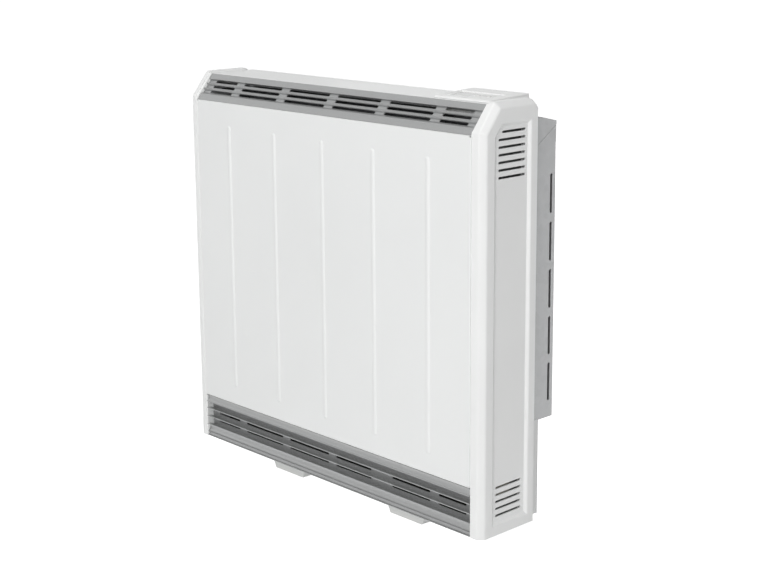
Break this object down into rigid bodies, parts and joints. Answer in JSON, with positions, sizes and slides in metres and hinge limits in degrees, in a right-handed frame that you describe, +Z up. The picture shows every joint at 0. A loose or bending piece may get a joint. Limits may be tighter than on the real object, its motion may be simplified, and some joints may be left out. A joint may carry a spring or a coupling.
{
  "type": "storage heater",
  "caption": "Wall-fixed storage heater: white panelled case, grey inlet and outlet grilles, louvred end panels, brick heat store, damper, keyed control unit.",
  "frame": {"origin": "middle of the width and depth, at the soles of the feet", "axes": "+Z up, +X to the right seen from the front, -Y out of the front panel, +Y towards the wall"},
  "size_m": [0.732, 0.187, 0.7304],
  "materials": {
    "panel": "satin white powder coat",
    "casing": "satin white powder coat",
    "moulding": "satin white moulding",
    "foot": "satin white moulding",
    "grille": "satin silver grey paint",
    "zinc": "zinc coated sheet steel",
    "dark": "dark heat-proof coat",
    "insulation": "pressed mineral board",
    "faced_board": "mineral board with a dark fleece face",
    "brick": "dense iron oxide brick",
    "element": "sheathed heating element",
    "steel": "bright steel",
    "motor": "dark moulded casing",
    "window": "clear lens over a pale display",
    "board": "circuit board",
    "button": "pale grey moulding",
    "terminal": "moulded terminal block",
    "rubber": "black rubber",
    "sensor": "black epoxy bead"
  },
  "bodies": {
    "heater": {"front_panel": "panel", "top_cover": "casing", "left_end_panel": "moulding", "right_end_panel": "moulding", "outlet_grille": "grille", "inlet_grille": "grille", "base_plate": "zinc", "left_foot": "foot", "right_foot": "foot", "case_back": "zinc", "case_left_side": "casing", "case_right_side": "casing", "case_top": "dark", "store_left_side": "zinc", "store_right_side": "zinc", "store_front": "dark", "wall_box": "zinc", "wall_box_cap": "zinc", "base_insulation": "faced_board", "back_insulation": "insulation", "left_insulation": "insulation", "right_insulation": "insulation", "front_insulation": "insulation", "top_insulation": "insulation", "brick_row_1": "brick", "brick_row_2": "brick", "brick_row_3": "brick", "brick_row_4": "brick", "brick_row_5": "brick", "brick_row_6": "brick", "lower_element": "element", "middle_element": "element", "upper_element": "element", "damper_bracket_left": "dark", "damper_bracket_right": "dark", "damper_motor": "motor", "control_housing": "moulding", "display_window": "window", "display_module": "steel", "control_board": "board", "terminal_bracket": "zinc", "terminal_block": "terminal", "cable_bush": "rubber", "safety_cutout": "steel", "core_sensor": "steel", "room_sensor": "sensor", "end_panel_screws": "steel", "foot_screws": "steel"},
    "damper": {"damper_blade": "dark", "damper_shaft": "dark"},
    "key_1": {"button_1": "button"},
    "key_2": {"button_2": "button"},
    "key_3": {"button_3": "button"},
    "key_4": {"button_4": "button"}
  },
  "joints": [
    {"name": "damper_turn", "type": "hinge", "parent": "heater", "child": "damper", "pos_m": [0, -0.036, 0.6818], "axis": [-1, 0, 0], "range_deg": [0, 50]},
    {"name": "key_1_press", "type": "slide", "parent": "heater", "child": "key_1", "axis": [0, 0.0488, -0.9988], "range_m": [0, 0.0008], "stiffness_N_per_m": 600, "springref_m": -0.0005},
    {"name": "key_2_press", "type": "slide", "parent": "heater", "child": "key_2", "axis": [0, 0.0488, -0.9988], "range_m": [0, 0.0008], "stiffness_N_per_m": 600, "springref_m": -0.0005},
    {"name": "key_3_press", "type": "slide", "parent": "heater", "child": "key_3", "axis": [0, 0.0488, -0.9988], "range_m": [0, 0.0008], "stiffness_N_per_m": 600, "springref_m": -0.0005},
    {"name": "key_4_press", "type": "slide", "parent": "heater", "child": "key_4", "axis": [0, 0.0488, -0.9988], "range_m": [0, 0.0008], "stiffness_N_per_m": 600, "springref_m": -0.0005}
  ]
}
